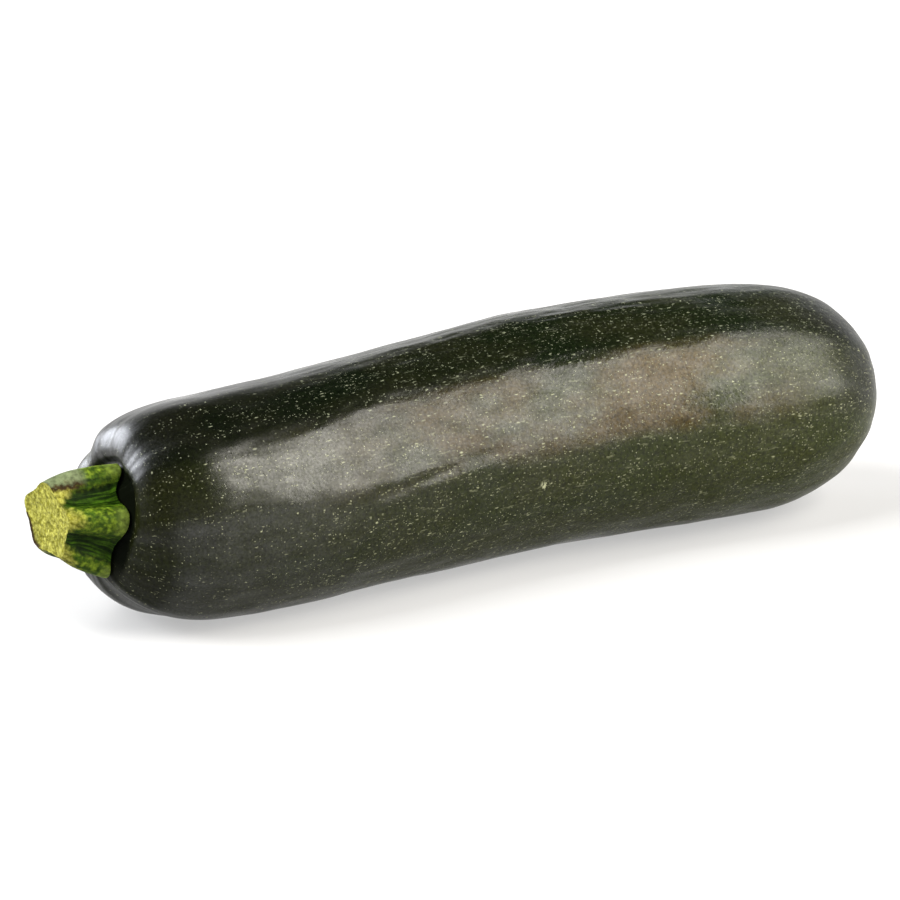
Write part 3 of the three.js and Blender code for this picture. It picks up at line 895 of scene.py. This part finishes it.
# The lobes of the foot are paler, and pale grainy flesh shows at the cut and runs down the ridges.
lobe = add(t, "ShaderNodeMath", fade(t, share, 0.3, 0.1), fade(t, crest, 0.5, 0.9), operation="MULTIPLY")
lobe = add(t, "ShaderNodeMath", lobe, 0.6, operation="MULTIPLY")
stalk_colour = add(t, "ShaderNodeMix", lobe, stalk_colour, lobe_pale, data_type="RGBA")
near_cut = add(t, "ShaderNodeMath", crest, 0.4, share, operation="MULTIPLY_ADD")
near_cut = add(t, "ShaderNodeMath", mottle_swing, 0.5, near_cut, operation="MULTIPLY_ADD")
near_cut = fade(t, near_cut, 1.02, 1.36)
near_cut = add(t, "ShaderNodeMath", near_cut, face, operation="MAXIMUM")
cut_grain = add(t, "ShaderNodeTexNoise", place, 1 / cut_grain_size, 3.0)
cut_mix = add(t, "ShaderNodeMapRange", cut_grain, 0.35, 0.65, 0.0, 1.0)
cut_colour = add(t, "ShaderNodeMix", cut_mix, cut_dark, cut_pale, data_type="RGBA")
stalk_colour = add(t, "ShaderNodeMix", near_cut, stalk_colour, cut_colour, data_type="RGBA")
# The knife also sliced the near flank of the top ridge. The strip of skin beyond that slice has
# weathered grey, and the edge between them has dried brown, as has the far edge of the cut. Turns are
# in radians, and shares go from the foot, 0, to the cut, 1.
off_face = add(t, "ShaderNodeMath", 1.0, face, operation="SUBTRACT")
rough_turn = add(t, "ShaderNodeMath", mottle_swing, 0.3, turn, operation="MULTIPLY_ADD")
sliced = add(t, "ShaderNodeMath", rough_turn, -0.65, share, operation="MULTIPLY_ADD")
sliced = fade(t, sliced, -0.62, -0.46)
sliced = add(t, "ShaderNodeMath", sliced, fade(t, rough_turn, 1.84, 1.9), operation="MULTIPLY")
stalk_colour = add(t, "ShaderNodeMix", sliced, stalk_colour, cut_colour, data_type="RGBA")
strip_end = fade(t, share, 0.45, 0.62)
weathered = add(t, "ShaderNodeMath", fade(t, rough_turn, 1.9, 1.82), strip_end, operation="MULTIPLY")
weathered = add(t, "ShaderNodeMath", weathered, off_face, operation="MULTIPLY")
stalk_colour = add(t, "ShaderNodeMix", weathered, stalk_colour, weathered_grey, data_type="RGBA")
dried = add(t, "ShaderNodeMath", bell(t, rough_turn, 1.86, 0.07), strip_end, operation="MULTIPLY")
dried_rim = fade(t, share, 0.93, 0.97)
dried_rim = add(t, "ShaderNodeMath", dried_rim, fade(t, rough_turn, 5.0, 5.2), operation="MULTIPLY")
dried_rim = add(t, "ShaderNodeMath", dried_rim, fade(t, reach, 0.86, 0.95), operation="MULTIPLY")
dried = add(t, "ShaderNodeMath", dried, off_face, operation="MULTIPLY")
dried = add(t, "ShaderNodeMath", dried, dried_rim, operation="MAXIMUM")
stalk_colour = add(t, "ShaderNodeMix", dried, stalk_colour, dried_brown, data_type="RGBA")
fleshy = add(t, "ShaderNodeTexNoise", place, 1 / flesh_grain_size, 3.0)
fleshy = add(t, "ShaderNodeMapRange", fleshy, 0.3, 0.7, 0.6, 1.4)
stalk_colour = add(t, "ShaderNodeVectorMath", stalk_colour, named={"Scale": fleshy}, operation="SCALE")
stalk_bump = add(t, "ShaderNodeMath", threads, cut_grain, operation="ADD")
stalk_bump = add(t, "ShaderNodeBump", named={"Strength": 0.8, "Distance": 0.0002, "Height": stalk_bump})
stalk_shade = add(
    t,
    "ShaderNodeBsdfPrincipled",
    named={
        "Base Color": stalk_colour,
        "Roughness": 0.6,
        "IOR": 1.4,
        "Specular IOR Level": 0.07,
        "Normal": stalk_bump,
    },
)
add(t, "ShaderNodeOutputMaterial", stalk_shade)

stalk = grown("stalk_stub", stalk_tree, both_sizes, fibre)
stalk.data.transform(Matrix.Translation(to_frame))
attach(stalk, "root")
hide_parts("stem")
